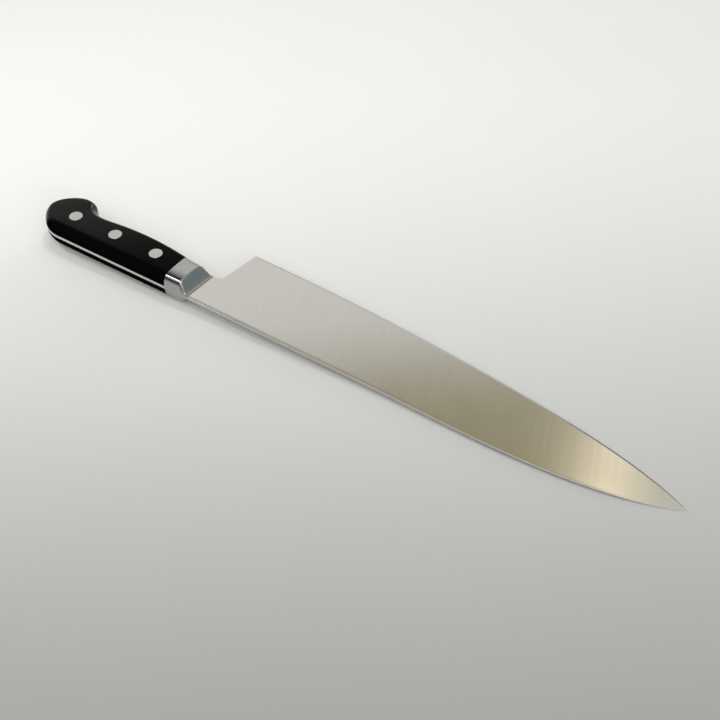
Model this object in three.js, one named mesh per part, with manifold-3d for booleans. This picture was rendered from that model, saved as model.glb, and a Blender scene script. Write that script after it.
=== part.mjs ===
import * as THREE from 'three';
import { mergeVertices } from 'three/addons/utils/BufferGeometryUtils.js';
import Module from 'manifold-3d';

// A long chef's knife with a full tang, in millimetres, lying on its right side.
// It is drawn with X from the heel (0) to the tip, Y from the line of the rivets (0) towards the edge,
// and Z out of the left face, with the middle of the steel at 0. The last step sets it on Z = 0.

// Blade outline
const bladeLength = 300;
const heelDepth = 39.1;
const tipDepth = 1.6;
const edgeFlat = 44;
const bellyReach = 61;
const bellyRise = 31.4;
const spineHeight = 13.75;
const spineBow = 1.15;
const spineStraight = 121;
const spineReach = 51;
const pointReach = 47;
const pointRise = 22.7;
const choilSetback = 3.7;
const choilDepth = 11.3;

// Blade section
const spineThickness = 2.5;
const pointThickness = 1.3;
const spineRadius = 0.5;
const edgeShoulder = 0.4;
const edgeBevel = 1.2;
const grindConvexity = 1.1;
const grindStep = 0.05;

// Bolster
const bolsterSetback = 12.1;
const bolsterSlope = 4.7;
const bolsterFlat = 11.8;
const bolsterDepth = 9.3;
const footFillet = 3.5;
const footLip = 0.15;

// Handle
const scaleLength = 107.8;
const handleThickness = 18;
const handleWall = 3;
const shoulderWidth = 4.6;
const jointDepth = 10.5;
const swellDepth = 16.6;
const swellReach = 38.9;
const swellStart = 8;
const gripDepth = 10.95;
const gripEase = 17.3;
const throatReach = 20.8;
const hookDepth = 19.9;
const hookSetback = 19.4;
const hookNose = 12;
const hookBack = 8;
const buttHeight = 14.25;
const buttDepth = 2.5;
const buttCorner = 20.9;
const buttShoulder = 11;
const buttRound = 8;

// Rivets, each a tube half in the left scale and a pin half in the right one
const rivetPlaces = ['front', 'middle', 'rear'];
const frontRivetInset = 17.3;
const rearRivetInset = 25.2;
const rivetHeadDiameter = 8.5;
const rivetHeadDepth = 2.5;
const rivetTubeDiameter = 4.8;
const rivetPinDiameter = 3.2;
const rivetEndGap = 0.6;
const stemClearance = 0.1;
const headClearance = 0.05;
const pinClearance = 0.05;

// Fineness of the facets
const bladeColumns = 40;
const upperRows = 5;
const lowerRows = 4;
const neckColumns = 4;
const curveSteps = 12;
const shoulderSteps = 6;
const roundSteps = 28;
const halvings = 40;

// Shape ratios: how far the columns crowd towards the tip, how much of the spine may be rounded,
// and how far the bolster's slope leads towards the belly for its way across
const tipCrowding = 1.4;
const spineRoundLimit = 0.8;
const slopeSkew = 0.055;

// Places worked out from the sizes
const steelHalf = spineThickness / 2;
const handleHalf = handleThickness / 2;
const slopeAngle = Math.atan2(handleHalf - steelHalf - footLip, bolsterSlope);
const footX = -bolsterSetback + footFillet * Math.tan(slopeAngle / 2);
const kinkX = -bolsterSetback - bolsterSlope;
const jointX = kinkX - bolsterFlat;
const buttX = jointX - scaleLength;
const tangFront = -bolsterSetback;
const tip = new THREE.Vector2(bladeLength, tipDepth);
const heel = new THREE.Vector2(0, heelDepth);
const choilCorner = new THREE.Vector2(-choilSetback, choilDepth);

// Room that a cutting solid has past the face that it cuts, and a width that spans the whole handle
const overrun = handleHalf;
const cutterWidth = 4 * (buttHeight + hookDepth);

const wasm = await Module();
wasm.setup();

// Solids and meshes

function toSolid(geometry) {
  const bare = geometry.clone();
  bare.deleteAttribute('normal');
  bare.deleteAttribute('uv');
  const merged = mergeVertices(bare);
  const vertProperties = new Float32Array(merged.attributes.position.array);
  const triVerts = new Uint32Array(merged.index.array);
  return new wasm.Manifold(new wasm.Mesh({ numProp: 3, vertProperties, triVerts }));
}

function fromTriangles(positions, indices) {
  const geometry = new THREE.BufferGeometry();
  geometry.setAttribute('position', new THREE.Float32BufferAttribute(positions, 3));
  geometry.setIndex(Array.from(indices));
  geometry.computeVertexNormals();
  return geometry;
}

function toGeometry(solid) {
  const mesh = solid.getMesh();
  return fromTriangles(mesh.vertProperties, mesh.triVerts);
}

function mirroredInZ(geometry) {
  const flipped = geometry.clone().scale(1, 1, -1);
  const index = flipped.index.array;
  for (let corner = 0; corner < index.length; corner += 3) {
    const second = index[corner + 1];
    index[corner + 1] = index[corner + 2];
    index[corner + 2] = second;
  }
  flipped.computeVertexNormals();
  return flipped;
}

// Outline curves

const edgeCurve = new THREE.CubicBezierCurve(
  heel,
  new THREE.Vector2(edgeFlat, heelDepth),
  new THREE.Vector2(bladeLength - bellyReach, tipDepth + bellyRise),
  tip,
);

const spineSlope = spineBow / (spineStraight - footX);

function spineLineY(x) {
  return grindStep - spineHeight - spineSlope * (x - footX);
}

const pointCurve = new THREE.CubicBezierCurve(
  new THREE.Vector2(spineStraight, spineLineY(spineStraight)),
  new THREE.Vector2(spineStraight + spineReach, spineLineY(spineStraight + spineReach)),
  new THREE.Vector2(bladeLength - pointReach, tipDepth - pointRise),
  tip,
);

function pointAtX(curve, x) {
  let low = 0;
  let high = 1;
  for (let halving = 0; halving < halvings; halving += 1) {
    const middle = (low + high) / 2;
    if (curve.getPoint(middle).x < x) {
      low = middle;
    } else {
      high = middle;
    }
  }
  return curve.getPoint(high);
}

function spinePoint(x) {
  if (x <= spineStraight) {
    return new THREE.Vector2(x, spineLineY(x));
  }
  return pointAtX(pointCurve, x);
}

// The choil's line, carried on up to the spine
const choilRake = choilSetback / (heelDepth - choilDepth);
const choilTopX = -choilRake * (heelDepth + spineHeight - grindStep);

// The handle's outline from a front end at frontX, round the butt and its hook, and forward again
function handleShape(frontX) {
  const cornerX = buttX + buttCorner;
  const hookX = buttX + hookSetback;
  const gripX = hookX + throatReach;
  const rise = (buttHeight - spineHeight) / (footX - cornerX);
  const shape = new THREE.Shape();
  shape.moveTo(frontX, rise * (frontX - footX) - spineHeight);
  shape.lineTo(cornerX, -buttHeight);
  shape.bezierCurveTo(
    cornerX - buttShoulder, -buttHeight - rise * buttShoulder,
    buttX, buttDepth - buttRound,
    buttX, buttDepth,
  );
  shape.bezierCurveTo(
    buttX, buttDepth + hookBack,
    hookX - hookBack, hookDepth,
    hookX, hookDepth,
  );
  shape.bezierCurveTo(
    hookX + hookNose, hookDepth,
    gripX - gripEase, gripDepth,
    gripX, gripDepth,
  );
  shape.bezierCurveTo(
    gripX + swellStart, gripDepth,
    jointX - swellReach, swellDepth,
    jointX, jointDepth,
  );
  shape.quadraticCurveTo(kinkX, bolsterDepth, tangFront, bolsterDepth);
  shape.lineTo(frontX, bolsterDepth);
  return shape;
}

// Handle envelope: the shape that the scales and bolsters are ground to together

function insetOutline(points, inset) {
  return points.map((point, place) => {
    const before = points[(place + points.length - 1) % points.length];
    const after = points[(place + 1) % points.length];
    const arriving = point.clone().sub(before).normalize();
    const leaving = after.clone().sub(point).normalize();
    const inward = new THREE.Vector2(-arriving.y - leaving.y, arriving.x + leaving.x);
    return point.clone().addScaledVector(inward, inset / (1 + arriving.dot(leaving)));
  });
}

function envelopeGeometry() {
  const outline = handleShape(footX + shoulderWidth + overrun).getPoints(curveSteps);
  if (THREE.ShapeUtils.isClockWise(outline)) {
    outline.reverse();
  }
  const wallHalf = handleWall / 2;
  const shoulderRise = handleHalf - wallHalf;
  const rings = [];
  for (const side of [-1, 1]) {
    for (let step = 0; step <= shoulderSteps; step += 1) {
      const turn = (side < 0 ? shoulderSteps - step : step) / shoulderSteps * Math.PI / 2;
      const inset = shoulderWidth * (1 - Math.cos(turn));
      const z = side * (wallHalf + shoulderRise * Math.sin(turn));
      rings.push(insetOutline(outline, inset).map((point) => [point.x, point.y, z]));
    }
  }
  const count = outline.length;
  const indices = [];
  for (let ring = 0; ring + 1 < rings.length; ring += 1) {
    for (let place = 0; place < count; place += 1) {
      const here = ring * count + place;
      const next = ring * count + (place + 1) % count;
      indices.push(here, next, next + count, here, next + count, here + count);
    }
  }
  const land = insetOutline(outline, shoulderWidth);
  const topRing = (rings.length - 1) * count;
  for (const [a, b, c] of THREE.ShapeUtils.triangulateShape(land, [])) {
    indices.push(topRing + a, topRing + b, topRing + c);
    indices.push(a, c, b);
  }
  return fromTriangles(rings.flat(2), indices);
}

// Blade: one piece of steel with its neck and the full tang

// Distance from the spine and half thickness of each row down a column of the blade.
// The first row is the middle of the spine. The last of the face rows is at faceEnd.
function faceRows(faceEnd, shares, spineHalf, halfAt) {
  const radius = Math.min(spineRadius, spineRoundLimit * spineHalf);
  const bulge = radius * (1 - Math.SQRT1_2);
  const rows = [[0, 0], [0, spineHalf - radius], [bulge, spineHalf - bulge]];
  for (const share of shares) {
    const distance = THREE.MathUtils.lerp(radius, faceEnd, share);
    rows.push([distance, halfAt(distance)]);
  }
  return rows;
}

function bladeSection(spine, edge) {
  const height = spine.distanceTo(edge);
  const slimming = Math.sqrt(Math.min(1, height / (heelDepth + spineHeight)));
  const along = THREE.MathUtils.clamp(edge.x / bladeLength, 0, 1);
  const full = THREE.MathUtils.lerp(spineThickness, pointThickness, along) / 2;
  const spineHalf = full * slimming - grindStep;
  const shoulderHalf = edgeShoulder / 2 * slimming;
  const faceEnd = height - edgeBevel * slimming;
  const halfAt = (distance) => {
    const share = Math.min(1, distance / faceEnd);
    return spineHalf - (spineHalf - shoulderHalf) * share ** grindConvexity;
  };
  return { height, spineHalf, faceEnd, halfAt };
}

const choilTop = spinePoint(choilTopX);
const choilSection = bladeSection(choilTop, heel);
const cornerShare = (choilTop.distanceTo(choilCorner) - spineRadius) / (choilSection.faceEnd - spineRadius);

function bladeColumn(along) {
  const spine = spinePoint(THREE.MathUtils.lerp(choilTopX, bladeLength, along));
  const edge = pointAtX(edgeCurve, bladeLength * along);
  const section = bladeSection(spine, edge);
  const shares = [];
  for (let row = 0; row <= upperRows; row += 1) {
    shares.push(cornerShare * row / upperRows);
  }
  for (let row = 1; row <= lowerRows; row += 1) {
    shares.push(THREE.MathUtils.lerp(cornerShare, 1, row / lowerRows));
  }
  const rows = faceRows(section.faceEnd, shares, section.spineHalf, section.halfAt);
  rows.push([section.height, 0]);
  return { spine, towards: edge, rows };
}

// The neck runs from inside the tang's plate, where it is flat, to the choil's line, where it has
// the blade's own section.
function neckColumn(along) {
  const blend = THREE.MathUtils.smoothstep(along, 0, 1);
  const belly = new THREE.QuadraticBezierCurve(
    new THREE.Vector2(tangFront, bolsterDepth - grindStep),
    new THREE.Vector2((tangFront - choilSetback) / 2, bolsterDepth),
    choilCorner,
  );
  const plugged = Math.min(along, 0) * bolsterSlope;
  const spine = spinePoint(THREE.MathUtils.lerp(tangFront, choilTopX, Math.max(along, 0)) + plugged);
  const towards = belly.getPoint(Math.max(along, 0));
  towards.x += plugged;
  const flatHalf = steelHalf - grindStep;
  const halfAt = (distance) => THREE.MathUtils.lerp(flatHalf, choilSection.halfAt(distance), blend);
  const shares = [];
  for (let row = 0; row <= upperRows; row += 1) {
    shares.push(row / upperRows);
  }
  return { spine, towards, rows: faceRows(spine.distanceTo(towards), shares, flatHalf, halfAt) };
}

function bladeGeometry() {
  const columns = [neckColumn(-1)];
  for (let column = 0; column < neckColumns; column += 1) {
    columns.push(neckColumn(column / neckColumns));
  }
  const choilPlace = columns.length;
  for (let column = 0; column < bladeColumns; column += 1) {
    const left = 1 - column / bladeColumns;
    columns.push(bladeColumn(1 - left ** tipCrowding));
  }
  const positions = [];
  const faces = [];
  const addVertex = (x, y, z) => positions.push(x, y, z) / 3 - 1;
  const addFace = (...corners) => {
    if (new Set(corners).size === 3) {
      faces.push(...corners);
    }
  };
  const addQuad = (a, b, c, d) => {
    addFace(a, b, c);
    addFace(a, c, d);
  };
  const sides = columns.map(({ spine, towards, rows }) => {
    const along = towards.clone().sub(spine).normalize();
    const left = [];
    const right = [];
    for (const [distance, half] of rows) {
      const place = spine.clone().addScaledVector(along, distance);
      left.push(addVertex(place.x, place.y, half));
      right.push(half > 0 ? addVertex(place.x, place.y, -half) : left.at(-1));
    }
    return { left, right };
  });
  const point = addVertex(tip.x, tip.y, 0);
  const tipRow = sides.at(-1).left.map(() => point);
  sides.push({ left: tipRow, right: tipRow });

  const cornerRow = sides[0].left.length - 1;
  for (let place = 0; place + 1 < sides.length; place += 1) {
    const here = sides[place];
    const next = sides[place + 1];
    for (let row = 0; row + 1 < here.left.length; row += 1) {
      addQuad(here.left[row], next.left[row], next.left[row + 1], here.left[row + 1]);
      addQuad(here.right[row], here.right[row + 1], next.right[row + 1], next.right[row]);
    }
    if (place < choilPlace) {
      addQuad(here.left[cornerRow], next.left[cornerRow], next.right[cornerRow], here.right[cornerRow]);
    }
  }
  const closeEnd = ({ left, right }, from, to) => {
    for (let row = from; row < to; row += 1) {
      addQuad(left[row], left[row + 1], right[row + 1], right[row]);
    }
  };
  closeEnd(sides[0], 0, cornerRow);
  closeEnd(sides[choilPlace], cornerRow, sides[choilPlace].left.length - 1);
  return fromTriangles(positions, faces);
}

// Rivet places along the scales, in step with their length
const rivetStep = (scaleLength - frontRivetInset - rearRivetInset) / Math.max(rivetPlaces.length - 1, 1);
const rivetXs = rivetPlaces.map((place, number) => jointX - frontRivetInset - rivetStep * number);

function tangGeometry() {
  const shape = handleShape(tangFront);
  for (const x of rivetXs) {
    const hole = new THREE.Path();
    hole.absarc(x, 0, rivetTubeDiameter / 2 + stemClearance, 0, 2 * Math.PI);
    shape.holes.push(hole);
  }
  const options = { depth: spineThickness, bevelEnabled: false, curveSegments: curveSteps };
  return new THREE.ExtrudeGeometry(shape, options).translate(0, 0, -steelHalf);
}

function steelGeometry() {
  return toGeometry(toSolid(tangGeometry()).add(toSolid(bladeGeometry())));
}

// Bolster: a cheek on each side of the tang, sloping down to the blade with a fillet at its foot

function bolsterGeometry(envelope) {
  const foot = steelHalf + footLip;
  const down = 1.5 * Math.PI;
  const top = handleHalf + overrun;
  const side = new THREE.Shape();
  side.moveTo(jointX, steelHalf);
  side.lineTo(footX, steelHalf);
  side.absarc(footX, foot + footFillet, footFillet, down, down - slopeAngle, true);
  side.lineTo(kinkX, handleHalf);
  side.lineTo(kinkX, top);
  side.lineTo(jointX, top);
  const options = { depth: cutterWidth, bevelEnabled: false, curveSegments: curveSteps };
  const profile = new THREE.ExtrudeGeometry(side, options).rotateX(Math.PI / 2);
  profile.translate(0, cutterWidth / 2, 0);
  const corners = profile.attributes.position;
  for (let corner = 0; corner < corners.count; corner += 1) {
    const x = corners.getX(corner);
    if (x > (jointX + kinkX) / 2) {
      corners.setX(corner, x + slopeSkew * corners.getY(corner));
    }
  }
  return toGeometry(envelope.intersect(toSolid(profile)));
}

// Scales: black slabs riveted to the tang, with a stepped hole for each rivet

function roundBar(diameter, low, high) {
  const bar = new THREE.CylinderGeometry(diameter / 2, diameter / 2, high - low, roundSteps);
  return bar.rotateX(Math.PI / 2).translate(0, 0, (low + high) / 2);
}

const headSeat = handleHalf - rivetHeadDepth;

function scaleGeometry(envelope) {
  const length = scaleLength + overrun;
  const depth = handleHalf + overrun - steelHalf;
  const slab = new THREE.BoxGeometry(length, cutterWidth, depth);
  slab.translate(jointX - length / 2, 0, steelHalf + depth / 2);
  let scale = envelope.intersect(toSolid(slab));
  const stemHole = roundBar(rivetTubeDiameter + 2 * stemClearance, -overrun, handleHalf);
  const headHole = roundBar(rivetHeadDiameter + 2 * headClearance, headSeat, handleHalf + overrun);
  for (const x of rivetXs) {
    scale = scale.subtract(toSolid(stemHole.clone().translate(x, 0, 0)));
    scale = scale.subtract(toSolid(headHole.clone().translate(x, 0, 0)));
  }
  return toGeometry(scale);
}

// Rivets: turned about Z, left over-long at the head, then ground flush with the scales

function turned(profile) {
  const outline = profile.map(([radius, z]) => new THREE.Vector2(radius, z));
  return new THREE.LatheGeometry(outline, roundSteps).rotateX(Math.PI / 2);
}

function rivetTubeGeometry() {
  const head = rivetHeadDiameter / 2;
  const tube = rivetTubeDiameter / 2;
  const bore = rivetPinDiameter / 2 + pinClearance;
  const tubeEnd = rivetEndGap - headSeat;
  return turned([
    [0, headSeat],
    [bore, headSeat],
    [bore, tubeEnd],
    [tube, tubeEnd],
    [tube, headSeat],
    [head, headSeat],
    [head, handleHalf + overrun],
    [0, handleHalf + overrun],
  ]);
}

function rivetPinGeometry() {
  const head = rivetHeadDiameter / 2;
  const pin = rivetPinDiameter / 2;
  const pinEnd = headSeat - rivetEndGap;
  return turned([
    [0, -handleHalf - overrun],
    [head, -handleHalf - overrun],
    [head, -headSeat],
    [pin, -headSeat],
    [pin, pinEnd],
    [0, pinEnd],
  ]);
}

function groundFlush(rivet, envelopeMesh, x) {
  const envelope = toSolid(envelopeMesh.clone().translate(-x, 0, 0));
  return toGeometry(toSolid(rivet).intersect(envelope));
}

// Materials: satin blade steel, polished bolster steel, rivet steel and black resin scales

const finish = (color, roughness, metalness) => {
  return new THREE.MeshStandardMaterial({ color, roughness, metalness });
};
const satinSteel = () => finish(0xc4c1bb, 0.38, 1);
const polishedSteel = () => finish(0xd2d1ce, 0.14, 1);
const rivetSteel = () => finish(0xcac7c2, 0.3, 1);
const blackResin = () => finish(0x1b1b1d, 0.48, 0);

function piece(name, geometry, material) {
  const mesh = new THREE.Mesh(geometry, material);
  mesh.name = name;
  return mesh;
}

// Assembly

const knife = new THREE.Group();
const handle = new THREE.Group();
knife.add(piece('blade', steelGeometry(), satinSteel()), handle);

const envelopeMesh = envelopeGeometry();
const envelope = toSolid(envelopeMesh);
const bolsterLeft = bolsterGeometry(envelope);
const scaleLeft = scaleGeometry(envelope);
handle.add(
  piece('bolster_left', bolsterLeft, polishedSteel()),
  piece('bolster_right', mirroredInZ(bolsterLeft), polishedSteel()),
  piece('scale_left', scaleLeft, blackResin()),
  piece('scale_right', mirroredInZ(scaleLeft), blackResin()),
);

rivetPlaces.forEach((place, number) => {
  const x = rivetXs[number];
  const tubeShape = groundFlush(rivetTubeGeometry(), envelopeMesh, x);
  const pinShape = groundFlush(rivetPinGeometry(), envelopeMesh, x);
  const tube = piece(`rivet_${place}_tube`, tubeShape, rivetSteel());
  const pin = piece(`rivet_${place}_pin`, pinShape, rivetSteel());
  tube.position.x = x;
  pin.position.x = x;
  handle.add(tube, pin);
});

// The origin is under the middle of the knife's box, on the surface that it lies on
const box = new THREE.Box3().setFromObject(knife);
const middle = box.getCenter(new THREE.Vector3());
knife.position.set(-middle.x, -middle.y, -box.min.z);

export default knife;
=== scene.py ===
# %% [markdown]
# # A long chef's knife with a riveted handle
# The knife lies on its right side on a pale floor, with its tip towards us.
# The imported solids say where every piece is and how
# big it is, so they are loaded first and never moved.
# Each solid is then covered by a finer mesh with a finish of its own.

# %% Load the frame
import math
import bpy
import numpy as np
from mathutils import Matrix, Vector


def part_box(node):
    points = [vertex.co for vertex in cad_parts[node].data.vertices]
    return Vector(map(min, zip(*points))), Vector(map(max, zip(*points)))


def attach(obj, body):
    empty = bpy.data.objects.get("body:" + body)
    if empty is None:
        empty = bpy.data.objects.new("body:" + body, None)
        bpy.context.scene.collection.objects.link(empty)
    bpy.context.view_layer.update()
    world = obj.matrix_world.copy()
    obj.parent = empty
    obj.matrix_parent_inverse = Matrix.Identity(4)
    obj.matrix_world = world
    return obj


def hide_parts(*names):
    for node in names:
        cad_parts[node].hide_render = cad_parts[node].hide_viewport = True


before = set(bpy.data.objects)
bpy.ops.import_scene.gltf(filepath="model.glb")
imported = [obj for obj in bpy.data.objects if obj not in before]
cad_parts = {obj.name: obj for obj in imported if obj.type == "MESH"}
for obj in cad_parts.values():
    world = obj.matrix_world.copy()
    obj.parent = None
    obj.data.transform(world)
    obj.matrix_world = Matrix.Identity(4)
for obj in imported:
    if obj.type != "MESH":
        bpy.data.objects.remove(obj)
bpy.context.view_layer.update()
print("solids in the frame:", sorted(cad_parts))

# %% [markdown]
# ## The knife's own lines
# A maker measures a knife from the heel, from the line of the
# rivets and from the middle of the steel, in millimetres.
# The pieces below are drawn that way and moved into the frame by one small function.
# Places that the solids already know, such as the bolster's joint, are read from their boxes.

# %% Measure the solids
MM = 0.001
BLADE_LENGTH = 300.0
RIVETS = ("front", "middle", "rear")

steel_low, steel_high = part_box("blade")
rivet_low, rivet_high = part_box("rivet_middle_tube")
heel_point = np.array((
    steel_high[0] - BLADE_LENGTH * MM,
    (rivet_low[1] + rivet_high[1]) / 2,
    (steel_low[2] + steel_high[2]) / 2,
))


def to_frame(points):
    """Points from the heel, the rivet line and the steel's middle, in the frame's metres."""
    return np.asarray(points, dtype=float) * MM + heel_point


def from_heel(node):
    """Lowest and highest corner of a solid, in millimetres from the heel."""
    return [(np.array(corner) - heel_point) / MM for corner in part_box(node)]


BOLSTER_DEPTH = 9.3
SLOPE_SKEW = 0.055
joint_x, foot_end = (corner[0] for corner in from_heel("bolster_left"))
foot_x = foot_end - SLOPE_SKEW * BOLSTER_DEPTH
butt_x = from_heel("scale_left")[0][0]
crest_z = from_heel("scale_left")[1][2]
steel_half = from_heel("blade")[1][2]
rivet_xs = [sum(corner[0] for corner in from_heel(f"rivet_{place}_tube")) / 2 for place in RIVETS]
print(f"joint {joint_x:.1f}, foot {foot_x:.1f}, butt {butt_x:.1f}, crest {crest_z:.2f}")
print("rivets at", [round(float(x), 1) for x in rivet_xs])

# %% [markdown]
# ## The camera
# A pinhole camera was fitted to the photograph by its rivets, its heel and its tip.
# It stands in front of the tip, about half a metre
# up, and looks down at 45 degrees along the knife.
# Its three axes are built from the turn, the tilt and the
# small roll, and go into the camera's matrix as columns.

# %% Place the camera
CAMERA_AT = (387.77, -412.93, 503.91)
CAMERA_TURN = math.radians(-34.58)
CAMERA_TILT = math.radians(45.144)
CAMERA_ROLL = math.radians(-0.816)
PHOTO_PIXELS = 720
FOCAL_PIXELS = 1263.3
SENSOR = 36.0

ahead = Vector((
    math.sin(CAMERA_TURN) * math.cos(CAMERA_TILT),
    math.cos(CAMERA_TURN) * math.cos(CAMERA_TILT),
    -math.sin(CAMERA_TILT),
))
level = Vector((math.cos(CAMERA_TURN), -math.sin(CAMERA_TURN), 0))
above = level.cross(ahead)
camera_right = level * math.cos(CAMERA_ROLL) + above * math.sin(CAMERA_ROLL)
camera_up = above * math.cos(CAMERA_ROLL) - level * math.sin(CAMERA_ROLL)

lens = bpy.data.cameras.new("camera")
lens.sensor_width = SENSOR
lens.lens = SENSOR * FOCAL_PIXELS / PHOTO_PIXELS
camera = bpy.data.objects.new("camera", lens)
turned = Matrix((camera_right, camera_up, -ahead)).transposed()
camera.matrix_world = Matrix.Translation(Vector(to_frame(CAMERA_AT))) @ turned.to_4x4()
bpy.context.collection.objects.link(camera)
bpy.context.scene.camera = camera
bpy.context.scene.view_settings.view_transform = "Standard"
print(f"camera with a {lens.lens:.1f} mm lens at", [round(v, 3) for v in camera.location])

# %% [markdown]
# ## Meshes from numbers
# Most pieces are skins over rows of points, because
# a ground surface is easiest to state as a formula.
# This helper makes an object from such points, shades it smooth,
# and keeps a crease wherever two faces meet at a clear angle.

# %% A helper for new pieces
CREASE = math.radians(32)


def new_piece(name, points, faces):
    """A mesh object from points in millimetres from the heel."""
    mesh = bpy.data.meshes.new(name)
    mesh.from_pydata(to_frame(points).tolist(), [], faces)
    mesh.update()
    mesh.polygons.foreach_set("use_smooth", [True] * len(mesh.polygons))
    mesh.set_sharp_from_angle(angle=CREASE)
    piece = bpy.data.objects.new(name, mesh)
    bpy.context.collection.objects.link(piece)
    return piece


# %% [markdown]
# ## The floor
# The knife touches the floor at two places only: the corner of the right-hand bolster and the tip.
# So the floor is a wide board tilted by about a degree and
# a half, through that corner and just under the point.
# The shadow in the photograph hugs the middle of the
# blade, so the board swells there by two millimetres.
# It is the stage, not part of the knife.

# %% Lay the floor
BOLSTER_FLAT = 11.8
TIP_TOUCH = (298.2, -0.07)
FLOOR_HALF = 4000.0
SWELL_RISE = 2.0
SWELL_END = 270.0
SWELL_STEPS = 40

kink_x = joint_x + BOLSTER_FLAT
floor_rise = (TIP_TOUCH[1] + crest_z) / (TIP_TOUCH[0] - kink_x)


def floor_z(x):
    """Height of the floor under a place along the knife."""
    share = np.clip((x - kink_x) / (SWELL_END - kink_x), 0, 1)
    return floor_rise * (x - kink_x) - crest_z + SWELL_RISE * np.sin(math.pi * share) ** 2


swell_x = np.linspace(kink_x, SWELL_END, SWELL_STEPS + 1)
board_x = np.concatenate(([-FLOOR_HALF], swell_x, [FLOOR_HALF]))
board = [
    np.column_stack((board_x, np.full(board_x.shape, y), floor_z(board_x)))
    for y in (-FLOOR_HALF, FLOOR_HALF)
]
columns = len(board_x)
floor = new_piece(
    "floor",
    np.vstack(board),
    [(k, k + 1, columns + k + 1, columns + k) for k in range(columns - 1)],
)
print(f"floor tilted by {math.degrees(math.atan(floor_rise)):.2f} degrees")

# %% [markdown]
# ## Curves of the outline
# The edge, the spine and the handle's outline are
# Bezier curves, the same ones that shape the solids.
# Blender has curve objects for this, but here the heights at given places are
# needed, so the curves are sampled finely and read off with interpolation.

# %% Outline of the blade
HEEL_DEPTH = 39.1
TIP = (BLADE_LENGTH, 1.6)
EDGE_FLAT = 44.0
BELLY_REACH = 61.0
BELLY_RISE = 31.4
SPINE_HEIGHT = 13.75
SPINE_BOW = 1.15
SPINE_STRAIGHT = 121.0
SPINE_REACH = 51.0
POINT_REACH = 47.0
POINT_RISE = 22.7
GRIND_STEP = 0.05


def bezier(controls, steps=600):
    """Points along a Bezier curve, by blending its controls pair by pair."""
    share = np.linspace(0, 1, steps + 1)[:, None]
    rows = [np.array(control, dtype=float)[None, :] for control in controls]
    while len(rows) > 1:
        rows = [a * (1 - share) + b * share for a, b in zip(rows, rows[1:])]
    return rows[0]


def spine_line(x):
    """The straight part of the spine."""
    return GRIND_STEP - SPINE_HEIGHT - SPINE_BOW * (x - foot_x) / (SPINE_STRAIGHT - foot_x)


edge_curve = bezier([
    (0, HEEL_DEPTH),
    (EDGE_FLAT, HEEL_DEPTH),
    (TIP[0] - BELLY_REACH, TIP[1] + BELLY_RISE),
    TIP,
])
point_curve = bezier([
    (SPINE_STRAIGHT, spine_line(SPINE_STRAIGHT)),
    (SPINE_STRAIGHT + SPINE_REACH, spine_line(SPINE_STRAIGHT + SPINE_REACH)),
    (TIP[0] - POINT_REACH, TIP[1] - POINT_RISE),
    TIP,
])


def edge_y(x):
    return np.interp(x, edge_curve[:, 0], edge_curve[:, 1])


def spine_y(x):
    bent = np.interp(x, point_curve[:, 0], point_curve[:, 1])
    return np.where(np.asarray(x) < SPINE_STRAIGHT, spine_line(np.asarray(x)), bent)


print(f"blade is {edge_y(0) - spine_y(0):.1f} mm high at the heel")

# %% Outline of the handle
CORNER = (butt_x + 20.9, -14.25)
BUTT_DEPTH = 2.5
BUTT_SHOULDER = 11.0
BUTT_ROUND = 8.0
HOOK = (butt_x + 19.4, 19.9)
HOOK_BACK = 8.0
HOOK_NOSE = 12.0
GRIP = (HOOK[0] + 20.8, 10.95)
GRIP_EASE = 17.3
SWELL_START = 8.0
SWELL_REACH = 38.9
SWELL_DEPTH = 16.6
JOINT_DEPTH = 10.5
BOLSTER_SETBACK = 12.1
BELLY_STEPS = 60
OUTLINE_SPARE = 30.0
BACK_RISE = (-SPINE_HEIGHT - CORNER[1]) / (foot_x - CORNER[0])
ahead_x = foot_x + OUTLINE_SPARE

butt_corner = bezier([
    CORNER,
    (CORNER[0] - BUTT_SHOULDER, CORNER[1] - BUTT_SHOULDER * BACK_RISE),
    (butt_x, BUTT_DEPTH - BUTT_ROUND),
    (butt_x, BUTT_DEPTH),
])
hook_back = bezier([
    (butt_x, BUTT_DEPTH),
    (butt_x, BUTT_DEPTH + HOOK_BACK),
    (HOOK[0] - HOOK_BACK, HOOK[1]),
    HOOK,
])
hook_front = bezier([
    HOOK,
    (HOOK[0] + HOOK_NOSE, HOOK[1]),
    (GRIP[0] - GRIP_EASE, GRIP[1]),
    GRIP,
])
palm_swell = bezier([
    GRIP,
    (GRIP[0] + SWELL_START, GRIP[1]),
    (joint_x - SWELL_REACH, SWELL_DEPTH),
    (joint_x, JOINT_DEPTH),
])
bolster_belly = bezier([
    (joint_x, JOINT_DEPTH),
    (kink_x, BOLSTER_DEPTH),
    (-BOLSTER_SETBACK, BOLSTER_DEPTH),
], BELLY_STEPS)
back_line = np.vstack(([(ahead_x, CORNER[1] + BACK_RISE * (ahead_x - CORNER[0]))], butt_corner))
belly_line = np.vstack((
    hook_back,
    hook_front[1:],
    palm_swell[1:],
    bolster_belly[1:],
    [(ahead_x, BOLSTER_DEPTH)],
))


def back_y(x):
    return np.interp(x, back_line[::-1, 0], back_line[::-1, 1])


def belly_y(x):
    return np.interp(x, belly_line[:, 0], belly_line[:, 1])


print(f"handle is {belly_y(joint_x) - back_y(joint_x):.1f} mm high at the joint, "
      f"{palm_swell[:, 1].max() - CORNER[1]:.1f} mm at the palm swell")

# %% [markdown]
# ## The blade, its neck and the tang
# All three are one piece of steel, so they are one mesh.
# It is a row of upright slices from the butt to the tip: each slice runs from
# the middle of the spine, round its eased corner and down the ground face.
# A slice of the blade ends in the narrow sharpened bevel,
# and a slice of the neck or the tang ends in a square belly.
# Extruding an outline would give flat sides, while the slices
# give the taper and the slight wedge that bend the reflections.

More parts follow.
